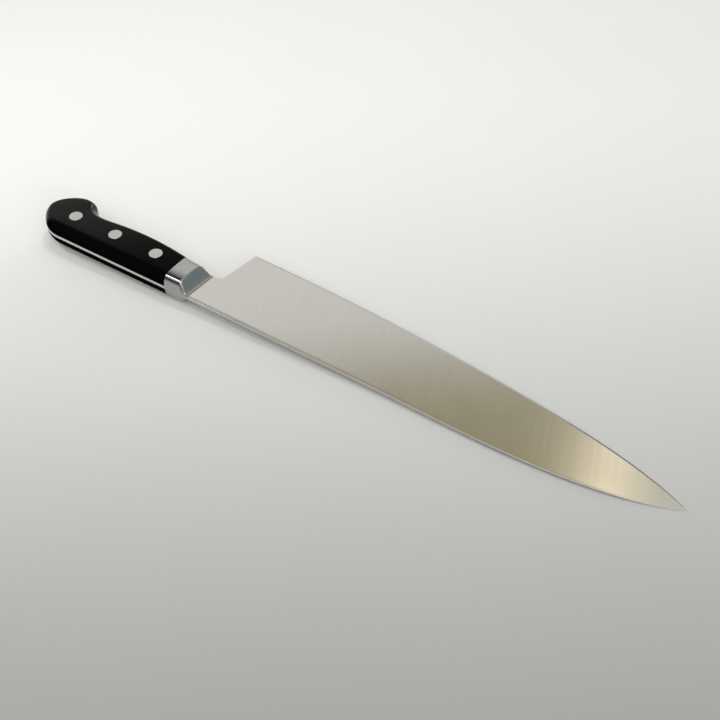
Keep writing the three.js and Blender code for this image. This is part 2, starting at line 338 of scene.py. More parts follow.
# %% Section of the steel
SPINE_THICK = 2.5
POINT_THICK = 1.3
SPINE_EASE = 0.5
TANG_EASE = 0.12
EASE_OF_HALF = 0.8
EASE_OF_HEIGHT = 0.2
EDGE_SHOULDER = 0.4
EDGE_BEVEL = 1.2
EASE_STEPS = 6


def blade_section(x, height):
    """Half thickness down a slice of the blade, and where its ground face ends."""
    slim = math.sqrt(min(1.0, height / (HEEL_DEPTH + SPINE_HEIGHT)))
    share = min(max(x / BLADE_LENGTH, 0.0), 1.0)
    spine_half = (SPINE_THICK + (POINT_THICK - SPINE_THICK) * share) / 2 * slim - GRIND_STEP * share
    shoulder_half = EDGE_SHOULDER / 2 * slim
    face_end = height - EDGE_BEVEL * slim

    def half_at(distance):
        return spine_half - (spine_half - shoulder_half) * np.minimum(1.0, distance / face_end)

    return spine_half, face_end, half_at


def eased_corner(ease, half):
    """Rows from the middle of the spine round its corner: distance down, half thickness."""
    turn = np.linspace(0, math.pi / 2, EASE_STEPS + 1)
    corner = [(ease * (1 - math.cos(t)), half - ease + ease * math.sin(t)) for t in turn]
    return [(0.0, 0.0)] + corner


# %% Slices of the blade
CHOIL = (-3.7, 11.3)
CHOIL_RAKE = -CHOIL[0] / (HEEL_DEPTH - CHOIL[1])
UPPER_ROWS = 16
LOWER_ROWS = 14
BLADE_SLICES = 170
TIP_CROWDING = 1.4

choil_top_x = -CHOIL_RAKE * (HEEL_DEPTH + SPINE_HEIGHT - GRIND_STEP)
choil_top = np.array((choil_top_x, float(spine_line(choil_top_x))))
heel = np.array((0.0, HEEL_DEPTH))
choil_end, choil_half_at = blade_section(0.0, np.linalg.norm(heel - choil_top))[1:]
corner_share = (np.linalg.norm(np.array(CHOIL) - choil_top) - SPINE_EASE) / (choil_end - SPINE_EASE)


def blade_slice(share):
    """Spine point, edge point and rows of one slice, from the choil at 0 to the tip at 1."""
    spine_x = choil_top_x + (BLADE_LENGTH - choil_top_x) * share
    spine = np.array((spine_x, float(spine_y(spine_x))))
    edge = np.array((BLADE_LENGTH * share, float(edge_y(BLADE_LENGTH * share))))
    height = np.linalg.norm(edge - spine)
    spine_half, face_end, half_at = blade_section(edge[0], height)
    ease = min(SPINE_EASE, EASE_OF_HALF * spine_half)
    rows = eased_corner(ease, float(half_at(ease)))
    upper = np.linspace(0, corner_share, UPPER_ROWS + 1)[1:]
    lower = np.linspace(corner_share, 1, LOWER_ROWS + 1)[1:]
    for part in np.concatenate((upper, lower)):
        distance = ease + (face_end - ease) * part
        rows.append((distance, float(half_at(distance))))
    rows.append((height, 0.0))
    return spine, edge, rows


blade_slices = [
    blade_slice(1 - (1 - k / BLADE_SLICES) ** TIP_CROWDING) for k in range(BLADE_SLICES)]
print(len(blade_slices), "slices of", len(blade_slices[0][2]), "rows")

# %% [markdown]
# Behind the choil the wedge carries on unchanged as the neck, so
# the reflection in the blade runs straight up to the bolster.
# Under the bolster, where it cannot be seen, the wedge turns into the flat tang.

# %% Slices of the neck and the tang
NECK_SLICES = 18
BUTT_SLICES = 40
GRIP_SLICES = 60
NECK_BEND = 0.6
BUTT_START = 0.03

neck_belly = bezier([
    (foot_x, BOLSTER_DEPTH - GRIND_STEP),
    ((foot_x + CHOIL[0]) / 2 + NECK_BEND, BOLSTER_DEPTH - GRIND_STEP),
    CHOIL,
], NECK_SLICES)


def neck_share(x):
    """0 at the tang, 1 at the neck, with a smooth change under the bolster's slope."""
    share = np.clip((x - kink_x) / (foot_x - kink_x), 0, 1)
    return share * share * (3 - 2 * share)


def steel_side(x, y):
    """Half thickness of the steel behind the choil."""
    wedge = choil_half_at((y - spine_line(x)) * math.hypot(1, CHOIL_RAKE))
    return steel_half + (wedge - steel_half) * neck_share(x)


def plain_slice(spine, belly):
    """A slice of the neck or the tang, down to the corner of its belly."""
    height = np.linalg.norm(belly - spine)
    down = (belly - spine) / height
    ease = TANG_EASE + (SPINE_EASE - TANG_EASE) * neck_share(spine[0])
    ease = min(float(ease), EASE_OF_HEIGHT * height)
    rows = eased_corner(ease, float(steel_side(*(spine + down * ease))))
    for part in np.linspace(0, 1, UPPER_ROWS + 1)[1:]:
        distance = ease + (height - ease) * part
        rows.append((distance, float(steel_side(*(spine + down * distance)))))
    return spine, belly, rows


def tang_slice(x):
    return plain_slice(np.array((x, float(back_y(x)))), np.array((x, float(belly_y(x)))))


def neck_slice(number):
    x = foot_x + (choil_top_x - foot_x) * number / NECK_SLICES
    return plain_slice(np.array((x, float(spine_line(x)))), neck_belly[number])


def round_butt(count):
    """Places along the butt, crowded towards its end."""
    return butt_x + BUTT_START + (CORNER[0] - butt_x) * np.linspace(0, 1, count) ** 2


butt_places = round_butt(BUTT_SLICES)
grip_places = np.linspace(butt_places[-1], foot_x, GRIP_SLICES + 1)[1:-1]
plain_slices = [tang_slice(x) for x in np.concatenate((butt_places, grip_places))]
plain_slices += [neck_slice(number) for number in range(NECK_SLICES)]
print(len(plain_slices), "slices from the butt to the choil")

# %% Skin the steel
points = []


def add_point(x, y, z):
    points.append((x, y, z))
    return len(points) - 1


def two_sides(spine, towards, rows):
    """Point numbers down both sides of a slice, which share the points in the middle."""
    down = (towards - spine) / np.linalg.norm(towards - spine)
    left, right = [], []
    for distance, half in rows:
        x, y = spine + down * distance
        left.append(add_point(x, y, half))
        right.append(add_point(x, y, -half) if half > 0 else left[-1])
    return left, right


sides = [two_sides(*piece) for piece in plain_slices + blade_slices]
choil_number = len(plain_slices)
tip_point = add_point(*TIP, 0.0)
corner_row = len(sides[0][0]) - 1
steel_faces = []
for number, ((left, right), (next_left, next_right)) in enumerate(zip(sides, sides[1:])):
    for row in range(len(left) - 1):
        steel_faces.append((left[row], next_left[row], next_left[row + 1], left[row + 1]))
        steel_faces.append((right[row], right[row + 1], next_right[row + 1], next_right[row]))
    if number < choil_number:
        steel_faces.append((
            left[corner_row], next_left[corner_row], next_right[corner_row], right[corner_row]))

last_left, last_right = sides[-1]
for row in range(len(last_left) - 1):
    steel_faces.append((last_left[row], tip_point, last_left[row + 1]))
    steel_faces.append((last_right[row], last_right[row + 1], tip_point))


def close_end(left, right, first, last):
    """A strip across the steel between its two sides."""
    for row in range(first, last):
        ring = (left[row], left[row + 1], right[row + 1], right[row])
        steel_faces.append(tuple(dict.fromkeys(ring)))


close_end(*sides[0], 0, corner_row)
close_end(*sides[choil_number], corner_row, len(sides[choil_number][0]) - 1)
blade = new_piece("blade_steel", points, steel_faces)
print("blade mesh:", len(blade.data.vertices), "points,", len(blade.data.polygons), "faces")

# %% [markdown]
# The line where the sharpened bevel meets the ground face is too slight
# an angle for the automatic crease, so its edges are marked one by one.
# A flat map of the steel, seen from the side, is also laid over
# it: it tells the shader which way the grinding lines run.

# %% Crease the bevel and map the steel
bevel_row = len(blade_slices[0][2]) - 2
bevel_points = {side[bevel_row] for pair in sides[choil_number:] for side in pair}
for edge in blade.data.edges:
    if edge.vertices[0] in bevel_points and edge.vertices[1] in bevel_points:
        edge.use_edge_sharp = True

side_map = blade.data.uv_layers.new(name="side_view")
corners = np.empty(len(blade.data.loops), dtype=np.int32)
blade.data.loops.foreach_get("vertex_index", corners)
flat = np.array(points)[corners][:, :2] / BLADE_LENGTH
side_map.data.foreach_set("uv", flat.ravel())
print(len(bevel_points), "points along the bevel")

# %% [markdown]
# ## The shape of the handle
# Scales and bolsters are ground together, so they share one surface.
# Its sides rise steeply from the steel, turn over an elliptic
# shoulder and run out in a very low crown to the middle.
# The height depends only on how far a point lies inside the outline, so one
# function of that distance gives the whole handle, with the butt and its hook.

# %% One surface for scales, bolsters and rivets
CROWN_BEND = 0.0065
CROWN_REACH = 10.7
SHOULDER = 4.6
SIDE_WALL = 0.12

handle_line = np.vstack((back_line[:-1], belly_line))


def inset(x, y):
    """Distance of each place from the handle's outline."""
    place = np.column_stack((np.ravel(x), np.ravel(y)))[:, None, :]
    start = handle_line[None, :-1, :]
    along = np.diff(handle_line, axis=0)[None, :, :]
    length = np.maximum((along ** 2).sum(axis=2), 1e-12)
    share = np.clip(((place - start) * along).sum(axis=2) / length, 0, 1)
    nearest = start + share[:, :, None] * along
    distance = np.sqrt(((place - nearest) ** 2).sum(axis=2)).min(axis=1)
    return distance.reshape(np.shape(x))


def crown(distance):
    return crest_z - CROWN_BEND * np.clip(CROWN_REACH - distance, 0, None) ** 2


def shouldered(top, seat, distance, width=SHOULDER):
    """A height over the seat, brought down to it at the outline by a quarter of an ellipse."""
    share = np.clip(1 - distance / width, 0, 1)
    return seat + (top - seat) * np.sqrt(1 - share ** 2)


def handle_height(x, y):
    distance = inset(x, y)
    return shouldered(crown(distance), steel_half + SIDE_WALL, distance)


print(f"crown {crown(SHOULDER):.2f} mm high at the shoulder, {crest_z:.2f} mm in the middle")

# %% Skin half a handle
ROWS_ACROSS = 76


def across_share():
    """Shares of the way from the back (0) to the belly (1), crowded towards both."""
    return (1 - np.cos(np.linspace(0, math.pi, ROWS_ACROSS + 1))) / 2


def across(stations):
    """Places across the handle at each station."""
    height = (belly_y(stations) - back_y(stations))[:, None]
    y = back_y(stations)[:, None] + height * across_share()[None, :]
    return np.repeat(stations[:, None], ROWS_ACROSS + 1, axis=1), y


def half_handle(name, x, y, z, side):
    """A closed piece between the steel and a skin of points, on the left (1) or right (-1)."""
    columns, rows = x.shape
    top = np.arange(x.size).reshape(x.shape)
    under = top + x.size
    faces = [[*top[0], *under[0, ::-1]], [*top[-1, ::-1], *under[-1]]]
    for c in range(columns - 1):
        faces.append([under[c, 0], under[c + 1, 0], top[c + 1, 0], top[c, 0]])
        faces.append([top[c, -1], top[c + 1, -1], under[c + 1, -1], under[c, -1]])
        for r in range(rows - 1):
            faces.append([top[c, r], top[c + 1, r], top[c + 1, r + 1], top[c, r + 1]])
            faces.append([under[c, r], under[c, r + 1], under[c + 1, r + 1], under[c + 1, r]])
    heights = np.concatenate((z.ravel(), steel_side(x, y).ravel())) * side
    skin = np.column_stack((np.tile(x.ravel(), 2), np.tile(y.ravel(), 2), heights))
    return new_piece(name, skin, [[int(number) for number in face[::side]] for face in faces])


# %% [markdown]
# ## Rivets
# Each rivet is a tube half with its head in the left scale,
# and a pin half that is pressed into it from the right.
# Both are turned round the rivet's axis.
# The heads are ground flush with the scales, so their tops take
# the handle's own height, with a hair of chamfer at the rim.
# The same turning makes the stepped cutters for the holes in the scales.

# %% Turn a profile
TURNS = 72
HEAD_RADIUS = 4.25
HEAD_DEPTH = 2.5
TUBE_RADIUS = 2.4
PIN_RADIUS = 1.6
END_GAP = 0.6
RIM_CHAMFER = 0.1

seat_z = crest_z - HEAD_DEPTH


def turned_piece(name, profile, x, side, flush_rows=0):
    """A profile of (radius, height) turned about the rivet at x, its last rows flush."""
    turn = np.linspace(0, 2 * math.pi, TURNS, endpoint=False)
    rings, points = [], []
    for number, (radius, z) in enumerate(profile):
        count = TURNS if radius > 0 else 1
        ring_x = x + radius * np.cos(turn[:count])
        ring_y = radius * np.sin(turn[:count])
        ring_z = np.full(count, float(z))
        if number >= len(profile) - flush_rows:
            ring_z = handle_height(ring_x, ring_y) + z
        start = sum(len(ring) for ring in rings)
        rings.append([start + k for k in range(count)])
        points += list(zip(ring_x, ring_y, ring_z * side))
    faces = []
    for low, high in zip(rings, rings[1:]):
        for k in range(TURNS):
            j = (k + 1) % TURNS
            ring = (low[k % len(low)], low[j % len(low)], high[j % len(high)], high[k % len(high)])
            faces.append(list(dict.fromkeys(ring))[::side])
    return new_piece(name, points, faces)


# %% Turn the rivets
CLEARANCE = 0.05
FLUSH_RINGS = (4.15, 3.8, 3.2, 2.5, 1.7, 0.9, 0.0)

flush_top = [(HEAD_RADIUS, -RIM_CHAMFER)] + [(radius, 0.0) for radius in FLUSH_RINGS]
tube_profile = [
    (0.0, seat_z),
    (PIN_RADIUS + CLEARANCE, seat_z),
    (PIN_RADIUS + CLEARANCE, END_GAP - seat_z),
    (TUBE_RADIUS, END_GAP - seat_z),
    (TUBE_RADIUS, seat_z),
    (HEAD_RADIUS, seat_z),
]
pin_profile = [
    (0.0, END_GAP - seat_z),
    (PIN_RADIUS, END_GAP - seat_z),
    (PIN_RADIUS, seat_z),
    (HEAD_RADIUS, seat_z),
]
rivets = {}
for place, x in zip(RIVETS, rivet_xs):
    rivets[f"rivet_{place}_tube"] = turned_piece(
        f"rivet_{place}_tube_head", tube_profile + flush_top, x, 1, len(flush_top))
    rivets[f"rivet_{place}_pin"] = turned_piece(
        f"rivet_{place}_pin_head", pin_profile + flush_top, x, -1, len(flush_top))
print("turned", len(rivets), "rivet halves")

# %% [markdown]
# ## Scales
# The scales are the black slabs of the handle, from the bolster's joint round the butt.
# They are skinned from the shared surface, and then the rivets' stepped
# holes are cut with Boolean modifiers, as a drill and a counterbore would.
# The result is kept as a plain mesh, so nothing is left to recalculate.

# %% Cut with Boolean modifiers
HEAD_HOLE = 4.3
STEM_HOLE = 2.5
CUT_BEYOND = 4.0


def cut_holes(piece, cutters):
    """Takes the cutters out of a piece and throws them away."""
    for cutter in cutters:
        drill = piece.modifiers.new(cutter.name, "BOOLEAN")
        drill.operation = "DIFFERENCE"
        drill.solver = "EXACT"
        drill.object = cutter
    seen = piece.evaluated_get(bpy.context.evaluated_depsgraph_get())
    whole = piece.data
    drilled = bpy.data.meshes.new_from_object(seen)
    piece.modifiers.clear()
    piece.data = drilled
    drilled.name = piece.name
    drilled.set_sharp_from_angle(angle=CREASE)
    bpy.data.meshes.remove(whole)
    for cutter in cutters:
        bpy.data.objects.remove(cutter)


# %% Make the scales
BUTT_STATIONS = 52
GRIP_STATIONS = 130

hole_profile = [
    (0.0, -CUT_BEYOND),
    (STEM_HOLE, -CUT_BEYOND),
    (STEM_HOLE, seat_z),
    (HEAD_HOLE, seat_z),
    (HEAD_HOLE, crest_z + CUT_BEYOND),
    (0.0, crest_z + CUT_BEYOND),
]
butt_stations = round_butt(BUTT_STATIONS)
grip_stations = np.linspace(butt_stations[-1], joint_x, GRIP_STATIONS + 1)[1:]
scale_x, scale_y = across(np.concatenate((butt_stations, grip_stations)))
scale_z = handle_height(scale_x, scale_y)
scales = {}
for side, hand in ((1, "left"), (-1, "right")):
    scale = half_handle(f"scale_{hand}_resin", scale_x, scale_y, scale_z, side)
    drills = [turned_piece(f"hole_{n}", hole_profile, x, side) for n, x in enumerate(rivet_xs)]
    cut_holes(scale, drills)
    scales[f"scale_{hand}"] = scale
    print(scale.name, len(scale.data.polygons), "faces")

# %% [markdown]
# ## Bolsters
# The bolsters are the bright cheeks between the scales and the blade.
# Behind, they carry on the handle's surface.
# In front, a flat slope drops to the steel and runs out in a small fillet.
# The two shapes are joined by a soft minimum, which
# takes the lower one and rounds the corner between them.

# %% Make the bolsters
BOLSTER_STATIONS = 84
FOOT_LIP = 0.15
FOOT_FILLET = 3.5
KINK_SOFTNESS = 0.9
SLOPE_RUN = 4.7
SHOULDER_TAPER = 0.7
LEAST_HEIGHT = 0.01

foot_z = steel_half + FOOT_LIP
slope_angle = math.atan2(crest_z - foot_z, SLOPE_RUN)


def slope_height(x):
    """The slope in front of the bolster, and the fillet at its foot."""
    line = crest_z + (kink_x - x) * math.tan(slope_angle)
    reach = np.clip(foot_x - x, 0, FOOT_FILLET)
    fillet = foot_z + FOOT_FILLET - np.sqrt(FOOT_FILLET ** 2 - reach ** 2)
    return np.where(foot_x - x > FOOT_FILLET * math.sin(slope_angle), line, fillet)


def soft_minimum(a, b, width):
    share = np.clip(0.5 + 0.5 * (b - a) / width, 0, 1)
    return b + (a - b) * share - width * share * (1 - share)


stations = np.linspace(joint_x, foot_x, BOLSTER_STATIONS + 1)
lead = np.clip((stations - joint_x) / (kink_x - joint_x), 0, 1)[:, None]
lead = SLOPE_SKEW * lead * across(stations)[1]
bolster_x = stations[:, None] + lead
bolster_y = back_y(bolster_x) + (belly_y(bolster_x) - back_y(bolster_x)) * across_share()[None, :]
bolster_inset = inset(bolster_x, bolster_y)
bolster_seat = steel_side(bolster_x, bolster_y)
slope_z = slope_height(bolster_x - SLOPE_SKEW * bolster_y)
bolster_z = soft_minimum(crown(bolster_inset), slope_z, KINK_SOFTNESS)
bolster_z = bolster_z - (steel_half - bolster_seat)
height_share = np.clip((bolster_z - bolster_seat) / (crest_z - steel_half), LEAST_HEIGHT, 1)
bolster_z = shouldered(
    bolster_z, bolster_seat + SIDE_WALL, bolster_inset, SHOULDER * height_share ** SHOULDER_TAPER)
bolsters = {}
for side, hand in ((1, "left"), (-1, "right")):
    bolsters[f"bolster_{hand}"] = half_handle(
        f"bolster_{hand}_steel", bolster_x, bolster_y, bolster_z, side)
print(f"slope of the bolster {math.degrees(slope_angle):.1f} degrees")

# %% [markdown]
# ## Node helpers
# Materials are built from shader nodes, and a few small helpers keep that readable.
# They add a node with its inputs set or linked, start a node
# group with named sockets, and place such a group in a material.
# A node group is a small machine that several materials can share, each with its own values.

# %% Helpers for nodes


def set_inputs(tree, node, inputs):
    """Sets a node's inputs. An input is a value, or the output socket that it is linked to."""
    for name, value in inputs.items():
        if isinstance(value, bpy.types.NodeSocket):
            tree.links.new(value, node.inputs[name])
        else:
            node.inputs[name].default_value = value


def add_node(tree, kind, inputs=None, **settings):
    """A new node with its settings and inputs."""
    node = tree.nodes.new(kind)
    for name, value in settings.items():
        setattr(node, name, value)
    set_inputs(tree, node, inputs or {})
    return node


def new_group(name, inputs, outputs):
    """An empty node group. Returns the group and the outputs of its input node."""
    group = bpy.data.node_groups.new(name, "ShaderNodeTree")
    for label, kind, value in inputs:
        socket = group.interface.new_socket(label, in_out="INPUT", socket_type=kind)
        socket.default_value = value
    for label, kind in outputs:
        group.interface.new_socket(label, in_out="OUTPUT", socket_type=kind)
    return group, group.nodes.new("NodeGroupInput").outputs


def place_group(tree, group, **inputs):
    """A node group placed in a material. Underscores in the names stand for spaces."""
    node = tree.nodes.new("ShaderNodeGroup")
    node.node_tree = group
    set_inputs(tree, node, {name.replace("_", " "): value for name, value in inputs.items()})
    return node.outputs


# %% [markdown]
# Numbers that change over a surface are worked out by nodes too.
# There are sums and products, ramps from one value
# to another, noise, and bumps that tilt the surface.

# %% Helpers for numbers


def reckon(tree, operation, a, b=0.0):
    """A number worked out from one or two others."""
    return add_node(tree, "ShaderNodeMath", {0: a, 1: b}, operation=operation).outputs[0]


def product(tree, a, b):
    return reckon(tree, "MULTIPLY", a, b)


def ramp(tree, value, start, end, low=0.0, high=1.0, smooth=True):
    """A number that goes from low to high while a value goes from start to end."""
    return add_node(tree, "ShaderNodeMapRange", {
        "Value": value, "From Min": start, "From Max": end, "To Min": low, "To Max": high,
    }, interpolation_type="SMOOTHSTEP" if smooth else "LINEAR").outputs[0]


def spread(tree, share, low, high):
    """A number between two, by a changing share."""
    return ramp(tree, share, 0.0, 1.0, low, high, smooth=False)


def rough(tree, first, second):
    """A roughness added up from two shares, each spread between two numbers."""
    return reckon(tree, "ADD", spread(tree, *first), spread(tree, *second))


def noise(tree, place, scale, **inputs):
    """Soft noise from 0 to 1."""
    inputs = {"Vector": place, "Scale": scale, **inputs}
    return add_node(tree, "ShaderNodeTexNoise", inputs).outputs["Fac"]


def bumped(tree, height, strength, distance, normal=None, invert=False):
    """A normal tilted by a height that changes over the surface."""
    inputs = {"Height": height, "Strength": strength, "Distance": distance}
    if normal is not None:
        inputs["Normal"] = normal
    return add_node(tree, "ShaderNodeBump", inputs, invert=invert).outputs[0]


def turned_by(tree, place, degrees):
    """Places turned about the upright axis."""
    return add_node(tree, "ShaderNodeMapping", {
        "Vector": place, "Rotation": (0, 0, math.radians(degrees))}).outputs[0]


# %% [markdown]
# ## Grinding lines
# Satin steel is covered with fine parallel lines from the belt that ground it.
# They could be an image, but noise that is squeezed one way
# and stretched the other gives the same lines at any size.
# The group puts out broad lines and fine ones together, from 0 to 1.

# %% Group: grinding lines
grinding, given = new_group(
    "grinding_lines",
    [
        ("Place", "NodeSocketVector", (0, 0, 0)),
        ("Spacing", "NodeSocketFloat", 0.0006),
        ("Length", "NodeSocketFloat", 0.03),
    ],
    [("Lines", "NodeSocketFloat"), ("Fine", "NodeSocketFloat")],
)
over_spacing = reckon(grinding, "DIVIDE", 1.0, given["Spacing"])
over_length = reckon(grinding, "DIVIDE", 1.0, given["Length"])
squeeze = add_node(grinding, "ShaderNodeCombineXYZ", {
    "X": over_spacing, "Y": over_length, "Z": over_length})
squeezed = add_node(grinding, "ShaderNodeVectorMath", {
    0: given["Place"], 1: squeeze.outputs[0]}, operation="MULTIPLY")
add_node(grinding, "NodeGroupOutput", {
    "Lines": noise(grinding, squeezed.outputs[0], scale=0.22, Detail=2.0, Roughness=0.6),
    "Fine": noise(grinding, squeezed.outputs[0], scale=1.0, Detail=3.0, Roughness=0.65)})
print("group", grinding.name)

# %% [markdown]
# ## Smudges and hairline scratches
# Handling leaves two marks on every surface: dull
# cloudy patches, and thin scratches in all directions.
# The clouds are plain noise.
# The scratches are stretched noise, cut so that only
# its sharp crests are left, laid in two directions.

# %% Group: handling marks
CLOUD_CUT = (0.35, 0.7)
SCRATCH_TURNS = (0.5, 2.1)
SCRATCH_STRETCH = 0.03
SCRATCH_CUT = (0.68, 0.76)
STRANDS_PER_WIDTH = 0.25

handling, given = new_group(
    "handling_marks",
    [
        ("Place", "NodeSocketVector", (0, 0, 0)),
        ("Cloud size", "NodeSocketFloat", 0.02),
        ("Scratch width", "NodeSocketFloat", 0.0002),
    ],
    [("Clouds", "NodeSocketFloat"), ("Scratches", "NodeSocketFloat")],
)
cloud_scale = reckon(handling, "DIVIDE", 1.0, given["Cloud size"])
clouds = noise(handling, given["Place"], cloud_scale, Detail=4.0, Distortion=0.6)
scratch_scale = reckon(handling, "DIVIDE", STRANDS_PER_WIDTH, given["Scratch width"])
crests = []
for turn in SCRATCH_TURNS:
    strand_place = add_node(handling, "ShaderNodeMapping", {
        "Vector": given["Place"], "Rotation": (0, 0, turn), "Scale": (1, SCRATCH_STRETCH, 1)})
    strands = noise(handling, strand_place.outputs[0], scratch_scale, Detail=1.0)
    crests.append(ramp(handling, strands, *SCRATCH_CUT, smooth=False))
add_node(handling, "NodeGroupOutput", {
    "Clouds": ramp(handling, clouds, *CLOUD_CUT),
    "Scratches": reckon(handling, "MAXIMUM", *crests)})
print("group", handling.name)

# %% [markdown]
# ## Material helpers
# Every material starts from its Principled shader and from
# the object's own coordinates, which are the frame's.
# Colours are mixed by a share that changes over the
# surface, and some shares follow a place along the knife.

# %% Helpers for materials


def new_material(name):
    """A new material. Returns it with its tree, its shader and its object coordinates."""
    material = bpy.data.materials.new(name)
    material.use_nodes = True
    tree = material.node_tree
    place = add_node(tree, "ShaderNodeTexCoord").outputs["Object"]
    return material, tree, tree.nodes["Principled BSDF"], place


def painted_over(tree, under, share, colour):
    """Paints one colour over a colour or a socket, by a changing share."""
    if not isinstance(under, bpy.types.NodeSocket):
        under = (*under, 1)
    inputs = {0: share, 6: under, 7: (*colour, 1)}
    return add_node(tree, "ShaderNodeMix", inputs, data_type="RGBA").outputs[2]


def mixed_colour(tree, share, low, high):
    """A colour between two, by a changing share."""
    return painted_over(tree, low, share, high)


def share_along(tree, place, start, end, low=0.0, high=1.0, axis="X"):
    """A number that changes smoothly from low at one place along an axis to high at another."""
    value = add_node(tree, "ShaderNodeSeparateXYZ", {0: place}).outputs[axis]
    zero = float(heel_point["XYZ".index(axis)])
    return ramp(tree, value, zero + start * MM, zero + end * MM, low, high)


# %% [markdown]
# ## Satin steel of the blade
# The blade is ground from spine to edge, so its lines run across
# it, leaning back towards the heel, and smear reflections along it.
# The shader's anisotropy does the smearing, with the flat map for its direction,
# and the grinding lines vary colour, roughness and a very slight bump.
# Between the bolsters the tang was buffed together with them, and
# along the scales a thin dark glue line runs down both joints.

# %% Material: blade steel
GRIND_LEAN = -20
STREAK_CUT = (0.3, 0.7)
STEEL_DARK = (0.609, 0.597, 0.57)
STEEL_LIGHT = (0.631, 0.617, 0.59)
BOLSTER_COLOUR = (0.43, 0.427, 0.418)
GLUE_COLOUR = (0.012, 0.012, 0.012)
GLUE_LINE = 0.4
JOINT_BLUR = 0.1
FOOT_BLUR = 1.5

blade_satin, tree, shader, place = new_material("blade_satin_steel")
leaning = turned_by(tree, place, GRIND_LEAN)
lines = place_group(tree, grinding, Place=leaning, Spacing=0.0005, Length=0.035)
marks = place_group(tree, handling, Place=place, Cloud_size=0.045, Scratch_width=0.00012)
along_blade = add_node(tree, "ShaderNodeTangent", direction_type="UV_MAP", uv_map="side_view")
between_bolsters = product(
    tree,
    share_along(tree, place, joint_x - JOINT_BLUR, joint_x + JOINT_BLUR),
    share_along(tree, place, foot_x, foot_x - FOOT_BLUR),
)
side_z = add_node(tree, "ShaderNodeSeparateXYZ", {0: place}).outputs["Z"]
off_middle = reckon(tree, "ABSOLUTE", reckon(tree, "SUBTRACT", side_z, float(heel_point[2])))
glue_start, glue_full = (steel_half - GLUE_LINE) * MM, (steel_half - GLUE_LINE / 2) * MM
glue_line = product(
    tree,
    ramp(tree, off_middle, glue_start, glue_full, smooth=False),
    share_along(tree, place, joint_x + JOINT_BLUR, joint_x - JOINT_BLUR),
)
streaks = ramp(tree, lines["Lines"], *STREAK_CUT, smooth=False)
steel_colour = mixed_colour(tree, streaks, STEEL_DARK, STEEL_LIGHT)
steel_colour = painted_over(tree, steel_colour, between_bolsters, BOLSTER_COLOUR)
steel_colour = painted_over(tree, steel_colour, glue_line, GLUE_COLOUR)
set_inputs(tree, shader, {
    "Base Color": steel_colour,
    "Metallic": 1.0,
    "Roughness": rough(tree, (lines["Fine"], 0.115, 0.14), (marks["Clouds"], 0.0, 0.015)),
    "Anisotropic": 0.1,
    "Tangent": along_blade.outputs[0],
    "Normal": bumped(tree, lines["Lines"], strength=1.0, distance=0.0000015),
})
print("material", blade_satin.name)

# %% [markdown]
# ## Polished steel of the bolster
# The bolster is buffed bright.
# Hairline scratches and a faint haze keep it from being a perfect mirror.

# %% Material: bolster steel
BOLSTER_HAZE = (0.4, 0.397, 0.387)

bolster_bright, tree, shader, place = new_material("bolster_polished_steel")
marks = place_group(tree, handling, Place=place, Cloud_size=0.009, Scratch_width=0.00007)
set_inputs(tree, shader, {
    "Base Color": mixed_colour(tree, marks["Clouds"], BOLSTER_COLOUR, BOLSTER_HAZE),
    "Metallic": 1.0,
    "Roughness": rough(tree, (marks["Clouds"], 0.085, 0.13), (marks["Scratches"], 0.0, 0.06)),
    "Normal": bumped(tree, marks["Scratches"], strength=0.4, distance=0.000004, invert=True),
})
print("material", bolster_bright.name)

# %% [markdown]
# ## Rivet steel
# The rivet heads were sanded flush together with the scales, so their lines run along the handle.
# The grinding group is turned by almost a quarter for that.

# %% Material: rivet steel
RIVET_TURN = 86
RIVET_DARK = (0.56, 0.555, 0.535)
RIVET_LIGHT = (0.66, 0.65, 0.635)

rivet_satin, tree, shader, place = new_material("rivet_satin_steel")
sanded = turned_by(tree, place, RIVET_TURN)
lines = place_group(tree, grinding, Place=sanded, Spacing=0.00022, Length=0.006)
marks = place_group(tree, handling, Place=place, Cloud_size=0.006, Scratch_width=0.00008)
set_inputs(tree, shader, {
    "Base Color": mixed_colour(tree, lines["Fine"], RIVET_DARK, RIVET_LIGHT),
    "Metallic": 1.0,
    "Roughness": rough(tree, (lines["Fine"], 0.2, 0.3), (marks["Scratches"], 0.0, 0.06)),
    "Normal": bumped(tree, lines["Fine"], strength=1.0, distance=0.000003),
})
print("material", rivet_satin.name)

# %% [markdown]
# ## Black resin of the scales
# The scales are wood layers pressed in black resin.
# The sanded surface is satin, with a fine pore, a faint grain along the handle and a few hairlines.
# Towards the spine the shoulder is left dull, so it stays black
# there, and the sheen grows from the bolster to the butt.

# %% Material: scale resin
GRAIN_TURN = 89
RESIN_DARK = (0.0014, 0.0014, 0.0015)
RESIN_LIGHT = (0.003, 0.003, 0.003)
SHEEN_AT_JOINT = 0.02
SHEEN_AT_BUTT = 0.15
DULL_SIDE = (-11.0, -7.8)

scale_black, tree, shader, place = new_material("scale_black_resin")
along_grain = turned_by(tree, place, GRAIN_TURN)
grain = place_group(tree, grinding, Place=along_grain, Spacing=0.0004, Length=0.02)
marks = place_group(tree, handling, Place=place, Cloud_size=0.012, Scratch_width=0.00009)
pores = noise(tree, place, scale=2600.0, Detail=2.0, Roughness=0.7)
pored = bumped(tree, pores, strength=0.5, distance=0.00002)
set_inputs(tree, shader, {
    "Base Color": mixed_colour(tree, grain["Lines"], RESIN_DARK, RESIN_LIGHT),
    "Roughness": rough(tree, (marks["Clouds"], 0.2, 0.28), (marks["Scratches"], 0.0, -0.05)),
    "Specular IOR Level": product(
        tree,
        share_along(tree, place, joint_x, butt_x, SHEEN_AT_JOINT, SHEEN_AT_BUTT),
        share_along(tree, place, *DULL_SIDE, axis="Y"),
    ),
    "Normal": bumped(tree, grain["Fine"], strength=0.5, distance=0.00001, normal=pored),
})
print("material", scale_black.name)
